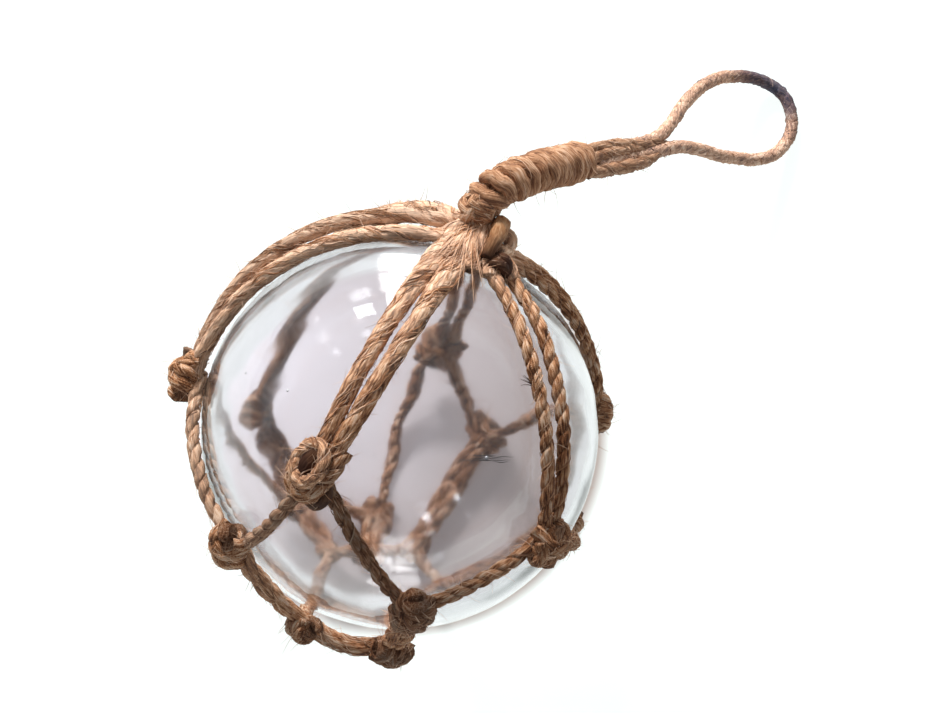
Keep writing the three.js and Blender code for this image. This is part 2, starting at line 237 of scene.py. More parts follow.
    def fuzz(self, route, tangents, normals, binormals, marks, radius, amount, soilAndShadeAt):
        rolled = self.random
        for _ in range(int(marks[-1] * hair["perMillimetre"] * amount)):
            at = rolled.randrange(1, len(route) - 1)
            angle = rolled.uniform(0, 2 * math.pi)
            outward = math.cos(angle) * normals[at] + math.sin(angle) * binormals[at]
            ahead = tangents[at] * rolled.choice((-1, 1))
            sideways = np.cross(outward, ahead)
            reach = hair["length"] * min(hair["longest"], rolled.expovariate(1.3) + 0.25)
            lean = rolled.uniform(0.25, 1.0) ** 2
            curl = sideways * rolled.uniform(-hair["curl"], hair["curl"])
            spot = route[at] + outward * radius * hair["root"]
            aside = sideways * rolled.uniform(-0.5, 0.5)
            heading = unit(ahead * (1 - 0.6 * lean) + outward * (0.12 + lean) + aside)
            self.hairline(spot, heading, outward, curl, reach, rolled.uniform(0.1, 1.0 - 0.5 * soilAndShadeAt[at]))

    def hairline(self, spot, heading, outward, curl, reach, paleAndLit):
        parts = hair["parts"]
        radius = hair["radius"] * self.random.uniform(0.7, 1.3)
        line = [spot]
        for part in range(parts):
            heading = unit(heading + (curl + outward * self.random.uniform(-0.35, 0.15)) * 0.45)
            line.append(line[-1] + heading * reach / parts)
        self.thread(np.array(line), radius * np.linspace(1, 0.35, parts + 1), hair["soilAndShade"], paleAndLit, 3)

    def tuft(self, spot, heading, count, reach):  # a frayed dark end that stands out of the twine
        parts = frayedEnd["parts"]
        for _ in range(count):
            spread = np.array([self.random.gauss(0, frayedEnd["spread"]) for _ in range(3)])
            line = [spot + spread * 0.6]
            for part in range(parts):
                line.append(line[-1] + unit(unit(heading) + spread * (0.4 + 0.35 * part)) * reach / parts)
            size = frayedEnd["radius"] * np.linspace(1, 0.3, parts + 1) * self.random.uniform(0.7, 1.2)
            self.thread(np.array(line), size, frayedEnd["soilAndShade"], 0.0)

    def piece(self, name, material, slot, *nodes):
        points = toFrame(np.vstack(self.points))
        points[:, 2] = np.maximum(points[:, 2], 0.0)  # pressed flat where it lies on the floor
        mesh = bpy.data.meshes.new(name)
        mesh.from_pydata(points.tolist(), [], self.faces)
        for label, rows in (("fibres", self.fibres), ("shade", self.shade)):
            held = mesh.attributes.new(label, "FLOAT_VECTOR", "POINT")
            held.data.foreach_set("vector", np.vstack(rows).astype(np.float32).ravel())
        mesh.materials.append(material)
        mesh.polygons.foreach_set("use_smooth", [True] * len(mesh.polygons))
        made = bpy.data.objects.new(name, mesh)
        bpy.context.scene.collection.objects.link(made)
        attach(made, "root")
        if nodes:
            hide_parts(*nodes)
        return made


class Socket:
    # A socket that arithmetic works on
    def __init__(self, finish, socket):
        self.finish, self.socket = finish, socket

    def maths(self, operation, *values):
        return self.finish.node("ShaderNodeMath", {"operation": operation}, dict(enumerate(values)))

    def __add__(self, other):
        return self.maths("ADD", self, other)

    def __sub__(self, other):
        return self.maths("SUBTRACT", self, other)

    def __mul__(self, other):
        return self.maths("MULTIPLY", self, other)

    def __truediv__(self, other):
        return self.maths("DIVIDE", self, other)

    def __rsub__(self, other):
        return self.maths("SUBTRACT", other, self)

    __radd__, __rmul__ = __add__, __mul__

    def clamped(self):
        return self.finish.node("ShaderNodeClamp", {}, {"Value": self})


class Finish:
    def __init__(self, name):
        self.material = bpy.data.materials.new(name)
        self.material.use_nodes = True
        self.tree = self.material.node_tree
        self.tree.nodes.clear()

    def node(self, kind, settings, inputs, output=0):
        made = self.tree.nodes.new(kind)
        for key, value in settings.items():
            if key == "stops":
                ramp = made.color_ramp
                while len(ramp.elements) < len(value):
                    ramp.elements.new(0.5)
                for element, (place, colour) in zip(ramp.elements, value):
                    element.position, element.color = place, (*colour, 1)
            else:
                setattr(made, key, value)
        for key, value in inputs.items():
            if isinstance(value, Socket):
                self.tree.links.new(value.socket, made.inputs[key])
            else:
                made.inputs[key].default_value = value
        return Socket(self, made.outputs[output])

    def attribute(self, name, output):
        return self.node("ShaderNodeAttribute", {"attribute_name": name}, {}, output)

    def mixed(self, share, first, second, kind="MIX"):
        return self.node("ShaderNodeMix", {"data_type": "RGBA", "blend_type": kind},
                         {0: share, 6: first, 7: second}, 2)

    def output(self, surface):
        out = self.tree.nodes.new("ShaderNodeOutputMaterial")
        self.tree.links.new(surface.socket, out.inputs["Surface"])
        return self.material


juteLook = {
    "dark": (0.078, 0.026, 0.011), "mid": (0.36, 0.152, 0.066), "warm": (0.66, 0.345, 0.178),
    "light": (0.95, 0.72, 0.54), "soilAndShade": (0.050, 0.021, 0.013), "paleAndLit": (0.92, 0.67, 0.50),
    "coarse": (1.6, 0.15, 3.0), "fine": (4.2, 0.07, 2.0), "blotches": 190.0, "contrast": (2.0, 1.7, 1.2),
    "middle": 0.47, "soilAndShadeStrength": 1.15, "grooveDark": 0.85, "relief": 0.0005, "roughness": 0.78, "shine": 0.22}


def juteFinish(name, look):
    finish = Finish(name)
    fibres = finish.attribute("fibres", "Vector")
    shade = finish.attribute("shade", "Vector")
    groove, soilAndShade, paleAndLit = (finish.node("ShaderNodeSeparateXYZ", {}, {0: shade}, k) for k in range(3))
    place = finish.node("ShaderNodeTexCoord", {}, {}, "Object")

    def streaks(scale, stretch, detail):
        along = finish.node("ShaderNodeMapping", {}, {"Vector": fibres, "Scale": (stretch, 1, 1)})
        return finish.node("ShaderNodeTexNoise", {}, {
            "Vector": along, "Scale": scale, "Detail": detail, "Roughness": 0.62}, "Fac")

    coarse, fine = streaks(*look["coarse"]), streaks(*look["fine"])
    blotches = finish.node("ShaderNodeTexNoise", {}, {
        "Vector": place, "Scale": look["blotches"], "Detail": 3.0}, "Fac")
    first, second, third = look["contrast"]
    tone = (coarse - 0.5) * first + (fine - 0.5) * second + (blotches - 0.5) * third + look["middle"]
    stops = ((0.05, look["dark"]), (0.36, look["mid"]), (0.6, look["warm"]), (0.95, look["light"]))
    colour = finish.node("ShaderNodeValToRGB", {"stops": stops}, {"Fac": tone.clamped()}, "Color")
    # the soil channel carries real dirt and stains, and also painted shade: darker on parts of the net that
    # lie in shade and on cores seen between turns
    soilAndShadeShare = soilAndShade * look["soilAndShadeStrength"] * (0.45 + 1.1 * blotches)
    colour = finish.mixed(soilAndShadeShare.clamped(), colour, (*look["soilAndShade"], 1))
    # painted shade, darkest deep in the grooves between the plies
    shaded = (1 - groove) * look["grooveDark"]
    colour = finish.mixed(shaded.clamped(), colour, (*look["dark"], 1), "MULTIPLY")
    # the pale channel carries paler twine, and also painted light on the top and the left of the net, which
    # face the lamps
    colour = finish.mixed((paleAndLit * (0.35 + coarse)).clamped(), colour, (*look["paleAndLit"], 1))
    height = coarse * 0.55 + fine * 0.45
    normal = finish.node("ShaderNodeBump", {}, {
        "Height": height, "Strength": 1.0, "Distance": look["relief"]}, "Normal")
    surface = finish.node("ShaderNodeBsdfPrincipled", {}, {
        "Base Color": colour, "Roughness": look["roughness"], "Specular IOR Level": look["shine"],
        "Normal": normal}, "BSDF")
    return finish.output(surface)


jute = juteFinish("jute twine", juteLook)
darkJute = juteFinish("darkened jute twine", {
    **juteLook, "warm": (0.52, 0.31, 0.185), "light": (0.84, 0.64, 0.48)})
stainedJute = juteFinish("stained jute cord", {
    **juteLook, "soilAndShade": (0.064, 0.070, 0.112), "paleAndLit": (0.86, 0.63, 0.53)})
ochreEnd = juteFinish("ochre twine end", {
    **juteLook, "dark": (0.24, 0.10, 0.04), "mid": (0.43, 0.205, 0.09), "warm": (0.52, 0.27, 0.13),
    "light": (0.64, 0.38, 0.21)})
wrapJute = juteFinish("smooth wrapping twine", {
    **juteLook, "dark": (0.17, 0.066, 0.031), "mid": (0.38, 0.172, 0.080), "warm": (0.56, 0.285, 0.148),
    "light": (0.80, 0.52, 0.35)})
print("finishes are ready")


hangingLoop = {
    "route": [
        (82.4, -14.7, 14), (87.8, -18.1, 8), (93.9, -22.2, 0.8), (99.8, -25.9, -6), (106, -28.2, -11.8),
        (112.6, -28.9, -16.8), (119.6, -29.3, -21.6), (126.6, -30.2, -26.8), (132.8, -31.8, -32),
        (138.2, -34.2, -37.4), (142.9, -37.7, -42.6), (146.3, -41.7, -46.8), (147.7, -46, -49.7),
        (147.3, -50.4, -51), (145.1, -54, -51.4), (141.6, -56.5, -51.4), (137.5, -57.9, -51),
        (133, -57.9, -49.8), (128.5, -56.9, -47.8), (124.2, -54.6, -44.8), (120.4, -51.2, -40.6),
        (116.8, -47, -35.4), (113.4, -42.6, -29.6), (110.6, -38.4, -24), (107.4, -34.6, -18.4),
        (103.2, -31.6, -12.6), (98.2, -28.8, -6.6), (92.8, -25.6, -0.4), (86.8, -21.9, 6.6),
        (80.9, -18.3, 13)],
    "length": 0.219, "diameter": 0.0034, "pathStep": 2.0,
    "laid": {"diameter": 3.35, "lay": 6.4, "snug": 0.5, "wander": 0.05},
    "stained": (0.378, 0.56), "cleanest": 0.06, "stain": 0.66, "paleAndLit": 0.36, "stainPale": 0.6}


def makeHangingLoop(cord):
    line, marks = smoothRoute(cord["route"], cord["pathStep"])
    length = marks[-1]
    start, end = (share * length for share in cord["stained"])

    def stain(route):  # strongest half way between start and end
        reach = np.concatenate([[0], np.cumsum(np.linalg.norm(np.diff(route, axis=0), axis=1))])
        nearness = 1 - np.abs(reach - (start + end) / 2) / ((end - start) / 2)
        return cord["cleanest"] + cord["stain"] * np.clip(1.7 * nearness, 0, 1)

    strand = Strands(11)
    strand.twine(cord["route"], soilAndShade=stain, hairs=0, **cord["laid"],
                 paleAndLit=lambda route: cord["paleAndLit"] - cord["stainPale"] * stain(route))
    loop = strand.piece("hanging_loop_cord", stainedJute, "jute", "hanging_loop")
    print("hanging loop", round(length, 1), "mm")


makeHangingLoop(hangingLoop)


# Places are (longitude, latitude) about the net's axis: latitude 90 is the crown, longitude 0 the top.
crownLift = math.radians(32)
netAxis = np.array([math.cos(crownLift), 0, math.sin(crownLift)])
topSide = np.array([-math.sin(crownLift), 0, math.cos(crownLift)])
rightSide = np.array([0.0, -1.0, 0.0])
onGlass = glassGap + twine["diameter"] / 2  # twine centre above the glass

upperKnots = [
    {"place": (-79, -6), "across": 10.5, "along": 13.5, "thick": 8.4, "turn": 10, "rise": 0.8},
    {"place": (-8, 0), "across": 12, "along": 14.5, "thick": 8, "turn": -12, "eye": True},
    {"place": (61, -2.5), "across": 12, "along": 12, "thick": 7.6, "turn": 14, "upright": True},
    {"place": (123, 18), "across": 10, "along": 11, "thick": 6.6, "turn": -6},
    {"place": (-175, 9.5), "across": 13, "along": 13, "thick": 8, "turn": 8},
    {"place": (-119, -21), "across": 9.5, "along": 11, "thick": 7.6, "turn": -10}]
crownPairs = [
    {"leaves": -76, "bow": 0, "ride": 0.2, "stack": -2.9, "spacing": 3.8, "outerSoil": 0.3,
     "frayed": (1.15, 1.0, 1.0)},
    {"leaves": -12, "bow": 2.1, "ride": 0, "stack": 0, "spacing": 4.2, "frayed": (2.0, 1.15, 1.2)},
    {"leaves": 45, "bow": -3, "ride": 0, "stack": 0, "spacing": 5.3,
     "tuft": {"share": 0.52, "heading": (0.25, 0.95, 0.35), "count": 9, "reach": 4.6}},
    {"leaves": 104, "bow": 0, "ride": 0, "stack": 0.8, "spacing": 3.8},
    {"leaves": -176, "bow": 0, "ride": 0, "stack": 0, "spacing": 3.8},
    {"leaves": -116, "bow": -4.0, "ride": 4, "stack": 0.8, "spacing": 2.4, "frayed": (1.3, 0.9, 0.85)}]
lowerKnots = [
    {"place": (-33.5, -37), "across": 11, "along": 14, "thick": 8, "turn": -24, "bows": (0, -2.5),
     "legSoil": (None, 0.55)},
    {"place": (31, -30), "across": 11.5, "along": 11.5, "thick": 8, "turn": 12, "bows": (0, 0.6),
     "soilAndShade": 0.62, "legSoil": (0.6, None)},
    {"place": (117, -14.5), "across": 10, "along": 10.5, "thick": 7, "turn": 0, "bows": (0, 0)},
    {"place": (162, -9.5), "across": 14, "along": 10.5, "thick": 9.2, "turn": 18, "bows": (-2.5, 0)},
    {"place": (-175, -47.5), "across": 11, "along": 9.5, "thick": 6.6, "turn": -8, "bows": (-3, -3.6)},
    {"place": (-137, -49), "across": 10, "along": 10, "thick": 7.4, "turn": 10, "bows": (-0.5, 2)}]
ringKnots = [
    {"place": (-3, -62.5), "across": 8.5, "along": 10.5, "thick": 6.8, "rise": 1.4, "bow": 0,
     "cordRise": 3.2, "soilAndShade": 0.45, "cordSize": 4.3},
    {"place": (46.5, -59.5), "across": 8.5, "along": 12, "thick": 7.4, "rise": 1.4, "bow": 4,
     "cordRise": 1, "soilAndShade": 0.6},
    {"place": (124, -54.5), "across": 7.5, "along": 8.5, "thick": 7, "bow": 0, "cordRise": 0},
    # the three ring knots at the back, under the ball, are painted with hardly any darkening: painted light
    # where they lie in shade
    {"place": (161, -50.5), "across": 8.2, "along": 9.0, "thick": 6.8, "bow": 0, "cordRise": 0, "soilAndShade": 0.06},
    {"place": (179, -60), "across": 8.0, "along": 8.4, "thick": 6.8, "bow": 0, "cordRise": 0, "soilAndShade": 0.06},
    {"place": (-155, -64.5), "across": 8.2, "along": 9.2, "thick": 7, "bow": 0, "cordRise": 0, "soilAndShade": 0.06}]
legSpacing, tieSpacing = 3.8, 3.1
# soil and painted shade over the net by place, and painted light on the ring, the underside, the top of the
# crown and the left
netWearAndShade = {
    "soilAndShade": 0.24, "right": 0.17, "crownLighter": 0.28, "lowDarker": 0.25, "ringPaintedLight": 0.45, "underPaintedLight": 0.22,
    "crownPaintedLight": 0.55, "leftPaintedLight": 0.4}


def direction(place):
    around, rise = (math.radians(angle) for angle in place)
    level = topSide * math.cos(around) + rightSide * math.sin(around)
    return netAxis * math.sin(rise) + math.cos(rise) * level


def standing(around, latitude, height):  # a spot that high above the ball's surface
    return direction((around, latitude)) * (ballRadius + height)


def sweep(values, t):
    start, middle, end = values
    return start * (1 - t) + end * t + 4 * t * (1 - t) * (middle - (start + end) / 2)


def overBall(start, end, shifts, rises=(0, 0, 0), spots=15):
    first, last = direction(start), direction(end)
    angle = math.acos(np.clip(first @ last, -1, 1))
    left = unit(np.cross(first, last))
    line = []
    for t in np.linspace(0, 1, spots):
        spot = (first * math.sin((1 - t) * angle) + last * math.sin(t * angle)) / math.sin(angle)
        spot = spot * (ballRadius + onGlass) + left * sweep(shifts, t)
        line.append(unit(spot) * (ballRadius + onGlass + sweep(rises, t)))
    return line


def netSoilAndShade(route):  # darker on the right and down to the lower knots, lighter round the crown; the ring and the underside are painted lighter, painted light where they lie in shade
    towards = route / np.linalg.norm(route, axis=1)[:, None]
    rise, right = towards @ netAxis, towards @ rightSide
    upwards, downwards = -netWearAndShade["crownLighter"] * rise, netWearAndShade["lowDarker"] * np.clip(-rise, 0, 0.5)
    shaded = netWearAndShade["soilAndShade"] + netWearAndShade["right"] * right + np.where(rise > 0, upwards, downwards)
    ringShare, underShare = np.clip(-rise - 0.6, 0, 1), np.clip(-towards[:, 2], 0, 1)
    return np.clip(shaded - netWearAndShade["ringPaintedLight"] * ringShare - netWearAndShade["underPaintedLight"] * underShare, 0.04, 0.8)


def netPaintedLight(route):  # paler on top of the crown, on the left and in front: painted light on the sides that face the lamps
    towards = route / np.linalg.norm(route, axis=1)[:, None]
    right = towards @ rightSide
    crownShare = np.clip(towards @ netAxis * 1.6 - 0.6, 0, 1) * np.clip(towards[:, 2] * 2 + 0.3, 0, 1)
    left = np.clip(-right * np.clip(towards[:, 2] * 2 + 0.6, 0, 1), 0, 1)
    return netWearAndShade["crownPaintedLight"] * crownShare * np.clip(1.3 - 4 * right, 0, 1) + netWearAndShade["leftPaintedLight"] * left


class KnotSeat:
    # Local axes of a knot: x across, y along the twine that runs into it, z height above the glass
    def __init__(self, size, heading):
        self.size = size
        self.outward = direction(size["place"])
        along = unit(heading - self.outward * (heading @ self.outward))
        turn = math.radians(size.get("turn", 0))
        self.along = along * math.cos(turn) + np.cross(self.outward, along) * math.sin(turn)
        self.across = np.cross(self.along, self.outward)
        self.rise = size.get("rise", 0)

    def at(self, spots):
        placed = []
        for x, y, z in spots:
            z -= (x * x + y * y) / (2 * ballRadius)
            height = ballRadius + glassGap + self.rise + z
            placed.append(self.outward * height + self.across * x + self.along * y)
        return placed


wrapping = {"spacing": 3.3, "spotsPerTurn": 7, "coreShare": 0.8, "coreShade": 0.6, "bight": 3.1}
knotTwine = {"wander": 0.05, "lay": 9.0, "loose": 0.25}


def wrappedKnot(strands, seat, soilAndShade, rolled):
    # Turns wound round the gathered twines, and two bights that cross over them
    size = seat.size
    half = twine["diameter"] / 2
    middle = size["thick"] / 2
    wide, tall, deep = size["across"] / 2 - half, size["along"] / 2 - half, middle - half * 0.9
    core = [(0, -tall * 1.2, middle * 0.8), (0, 0, middle), (0, tall * 1.2, middle * 0.8)]
    # the core, seen only between the turns, is painted darker: painted shade between the turns
    strands.twine(seat.at(core), soilAndShade=wrapping["coreShade"], hairs=0, loose=0.4,
                  diameter=size["thick"] * wrapping["coreShare"])
    upright = size.get("upright", False)
    reach, run = (tall, wide) if upright else (wide, tall)
    turns = max(2.0, round(2 * run / wrapping["spacing"] * 2) / 2)
    slant = rolled.uniform(-0.3, 0.3)
    coil = []
    steps = int(turns * wrapping["spotsPerTurn"])
    for step in range(steps + 1):
        t = step / steps
        angle = 2 * math.pi * turns * t + 0.6
        squeeze = (1 - abs(2 * t - 1) ** 3 * 0.3) * rolled.uniform(0.95, 1.05)
        x = reach * squeeze * math.cos(angle)
        y = run * (2 * t - 1) + slant * x
        z = middle + deep * squeeze * math.sin(angle)
        coil.append((y, x, z) if upright else (x, y, z))
    strands.twine(seat.at(coil), soilAndShade=soilAndShade, hairs=1.4, **knotTwine)
    side = rolled.choice((-1, 1))
    high = size["thick"] - half * 0.6
    for lean, start, end in ((side, 0.95, -0.95), (-side, 0.8, -0.35)):
        over = [(-lean * wide * 0.95, tall * start, half),
                (-lean * wide * 0.6, tall * start * 0.6, high * 0.86),
                (0, tall * (start + end) / 2, high),
                (lean * wide * 0.65, tall * end * 0.6, high * 0.84),
                (lean * wide * 0.95, tall * end, half)]
        strands.twine(seat.at(over), soilAndShade=soilAndShade, hairs=1.2, diameter=wrapping["bight"], **knotTwine)
        if not size.get("crossed", True):
            break


eyeKnot = {  # the upper knot in front, whose bight stands open as a ring with a dark eye
    "core": [(-1.6, -4.5, 2.4), (-2.1, 1.6, 2.7), (-1.4, 6.4, 2.2)], "coreSize": 6.0,
    "ring": {"centre": (-2.1, 2.3), "across": 3.5, "along": 4.7, "low": 3.6, "high": 6.8, "size": 2.9,
             "spots": 17, "perTurn": 15, "starts": -1.2},
    "rightCord": [(2.8, 8.5, 1.8), (3.3, 4.5, 3.2), (3.5, 0.5, 4.4), (2.8, -3.2, 5.6), (-0.2, -5.4, 5.0),
                  (-3.8, -5.2, 3.2), (-5.2, -3.4, 1.6)],
    "lobe": [(1.0, -6.6, 1.6), (4.0, -5.6, 3.2), (5.2, -3.0, 4.0), (4.2, -0.6, 4.2), (2.2, 0.4, 4.6)],
    "under": [(-6.2, 1.0, 1.6), (-5.0, -2.4, 3.0), (-2.4, -4.6, 4.0), (1.2, -4.4, 5.4), (3.0, -1.6, 5.6)]}


def makeEyeKnot(strands, seat, look):
    # the core under the ring is painted dark: partly dark twine, partly painted shade in the eye
    strands.twine(seat.at(look["core"]), soilAndShade=0.9, hairs=1.5, loose=3.0, diameter=look["coreSize"], lay=14.0)
    ring = look["ring"]
    spots = []
    for step in range(ring["spots"]):
        angle = 2 * math.pi * (step / ring["perTurn"]) + ring["starts"]
        height = ring["low"] + (ring["high"] - ring["low"]) * (0.5 + 0.5 * math.cos(angle + 0.5))
        spots.append((ring["centre"][0] + ring["across"] * math.cos(angle),
                      ring["centre"][1] + ring["along"] * math.sin(angle), height))
    strands.twine(seat.at(spots), soilAndShade=0.05, paleAndLit=0.12, hairs=2.2, wander=0.05, diameter=ring["size"],
                  lay=9.0, loose=0.5)
    strands.twine(seat.at(look["rightCord"]), soilAndShade=0.35, hairs=2.0, lay=9.0, loose=0.6)
    strands.twine(seat.at(look["lobe"]), soilAndShade=0.8, hairs=1.5, diameter=3.3, lay=9.0, loose=0.3)
    strands.twine(seat.at(look["under"]), soilAndShade=0.3, hairs=1.5, diameter=3.2, lay=9.0, loose=0.3)


# Where a pair leaves the glass, and the spots above that, as sideways turn, latitude and height.
crownEnds = {"latitude": 81, "mouth": (14, 87.5, 7.0), "shoulder": (20, 84, 4.4)}
seeds = {"knots": 100, "crown": 200, "mesh": 300, "tie": 400, "ring": 500}


def makeKnots(families):
    rolled = random.Random(5)
    for label, family in families.items():
        for index, seat in enumerate(family):
            knot = Strands(seeds["knots"] + index * 7 + len(label))
            if seat.size.get("eye"):
                makeEyeKnot(knot, seat, eyeKnot)
            else:
                wrappedKnot(knot, seat, seat.size.get("soilAndShade", netSoilAndShade), rolled)
            knot.piece(f"{label}_knot_wraps_{index + 1}", jute, "jute", f"{label}_knot_{index + 1}")


def layCrownPair(index, pair, upper):  # two twines from the crown to an upper knot
    for side, label in ((-1, "a"), (1, "b")):
        half = side * pair["spacing"] / 2
        stack = max(0.0, side * pair["stack"])  # a negative stack lifts the other twine
        shifts = (half, pair["bow"] + half * 1.3, side * legSpacing / 2 * 0.7)
        rises = (pair["ride"] + stack, pair["ride"] * 0.3 + stack, upper.rise + 0.6)
        line = overBall((pair["leaves"], crownEnds["latitude"]), upper.size["place"], shifts, rises)
        hub = []
        for end, ride in (("mouth", 0.0), ("shoulder", pair["ride"] * 0.5)):
            turn, latitude, height = crownEnds[end]
            hub.append(direction((pair["leaves"] + side * turn, latitude)) * (ballRadius + height + ride))
        cord = Strands(seeds["crown"] + index * 9 + side)
        frayed = pair.get("frayed")
        laid = {"hairs": 1.0, "loose": 0.2, "lay": twine["lay"], "diameter": 3.15}
        if frayed:
            laid = {"hairs": 2.4, "loose": 2.2, "lay": 30.0, "diameter": 3.5,
                    "flare": (*frayed[:2], frayed[2] if side > 0 else 1.0)}
        soilAndShade = pair.get("outerSoil", netSoilAndShade) if stack else netSoilAndShade
        cord.twine(hub + line, soilAndShade=soilAndShade, paleAndLit=netPaintedLight, **laid)
        tuft = pair.get("tuft")
        if tuft and side < 0:
            spot = line[int(tuft["share"] * len(line))]
            cord.tuft(spot, np.array(tuft["heading"]), tuft["count"], tuft["reach"])
        cord.piece(f"crown_cord_{index + 1}{label}", jute, "jute", f"crown_twine_{index + 1}{label}")


def layLegs(index, lower, leftUpper, rightUpper):  # from a lower knot to the upper knots beside it
    for side, start, label in ((1, leftUpper, "left"), (-1, rightUpper, "right")):
        half = side * legSpacing / 2
        which = 0 if side > 0 else 1
        bow, soilAndShade = lower.size["bows"][which], lower.size.get("legSoil", (None, None))[which]
        line = overBall(lower.size["place"], start.size["place"], (half * 0.6, bow, -half * 0.8))
        cord = Strands(seeds["mesh"] + index * 9 + side)
        cord.twine(line, soilAndShade=soilAndShade or netSoilAndShade, paleAndLit=netPaintedLight, hairs=1.4, diameter=3.2)
        cord.piece(f"mesh_cord_{index + 1}_{label}", jute, "jute", f"mesh_twine_{index + 1}_{label}")


def layTie(index, lower, ring):
    tie = Strands(seeds["tie"] + index)
    for side in (-1, 1):
        half = side * tieSpacing / 2
        rises = (ring.rise, (lower.rise + ring.rise) / 2, lower.rise)
        line = overBall(ring.size["place"], lower.size["place"], (half * 0.7, half, half * 0.7), rises, 7)
        tie.twine(line, soilAndShade=netSoilAndShade, paleAndLit=netPaintedLight, diameter=3.6, lay=12.0)
    tie.piece(f"ring_tie_cords_{index + 1}", jute, "jute", f"ring_tie_{index + 1}")


def layRingCord(index, ring, after):
    size = ring.size
    line = overBall(after.size["place"], size["place"], (0, size["bow"], 0),
                    (after.rise, size["cordRise"], ring.rise), 9)
    laid = {"loose": 0.4}
    if "cordSize" in size:
        laid = {"loose": 1.6, "diameter": size["cordSize"], "lay": 20.0}
    cord = Strands(seeds["ring"] + index)
    cord.twine(line, soilAndShade=netSoilAndShade, paleAndLit=netPaintedLight, hairs=1.4, **laid)
    cord.piece(f"ring_cord_twine_{index + 1}", darkJute, "dark_jute", f"ring_cord_{index + 1}")


def makeNet():
    uppers = [KnotSeat(size, netAxis) for size in upperKnots]
    lowers = [KnotSeat(size, netAxis) for size in lowerKnots]
    count = len(uppers)
    rings = []
    for index, size in enumerate(ringKnots):
        after = direction(ringKnots[(index + 1) % count]["place"])
        before = direction(ringKnots[index - 1]["place"])
        rings.append(KnotSeat(size, after - before))
    makeKnots({"upper": uppers, "lower": lowers, "ring": rings})
    for index in range(count):
        after = (index + 1) % count
        layCrownPair(index, crownPairs[index], uppers[index])
        layLegs(index, lowers[index], uppers[index], uppers[after])
        layTie(index, lowers[index], rings[index])
        layRingCord(index, rings[index], rings[after])


makeNet()
print("net is laid")


neck = {
    "knotCentre": (50.7, 1.5, 34.5), "knotSize": 8.6, "knotCore": 6.2, "knotSpots": 9, "knotDrift": 3.4,
    "core": 6.0, "radius": 5.2, "turns": 11, "spotsPerTurn": 12, "wrap": 3.5, "wrapSink": 1.7,
    "wrapped": 0.92, "slant": 0.5, "cordApart": 1.75,
    "bundle": [  # long strands over the doubled cord, run together at the fork
        [(79.6, -13.9, 17.6), (84.6, -16.1, 13.0), (90.6, -20.4, 6.2), (96.0, -25.0, -1.2),
         (100.4, -27.6, -7.0), (103.2, -28.8, -10.4)],
        [(78.4, -15.8, 17.4), (83.6, -18.0, 12.6), (89.4, -21.4, 6.4), (95.2, -25.4, -1.4),
         (99.8, -28.4, -7.6), (102.8, -29.8, -11.4)],
        [(77.2, -18.0, 16.2), (82.2, -21.6, 10.4), (88.0, -25.6, 4.0), (93.8, -28.6, -2.8),
         (98.8, -29.8, -8.0), (102.2, -30.8, -12.0)]],
    "route": [(52.6, 1, 33.1), (57.2, -1.2, 35.5), (62.2, -4.7, 34.1), (67.8, -8.3, 29.6),
              (73.6, -11.8, 23.4), (79.8, -15.5, 16)]}
crown = {
    "rise": 6.8, "core": 8.0,
    "gathered": 6, "gatheredSpots": ((0, 81, 2.2), (6, 84, 4.6), (14, 87, 6.8)),
    "front": ((-6, 1.5), (14, 1.8), (36, 1.6), (62, 1.3)),
    "frontSpots": ((0, 72, 2.0), (-4, 78, 3.8), (-12, 84, 5.8)),
    "fan": 44, "fanAround": (-17, 26), "fanRise": (58, 80), "fibre": (0.05, 0.11),
    "band": {"place": (44, 75.5), "across": 8.5, "along": 6.5, "thick": 6.0, "turn": 0, "crossed": False},
    "tab": [(50.8, -5.2, 30.4), (48.0, -5.8, 33.8), (44.4, -6.4, 36.8), (41.2, -6.4, 38.4),
            (38.4, -6.2, 38.4)],
    "lobe": [(48.6, -5.8, 31.6), (48.0, -8.6, 30.6), (45.0, -9.4, 30.8), (42.0, -8.0, 34.6)]}


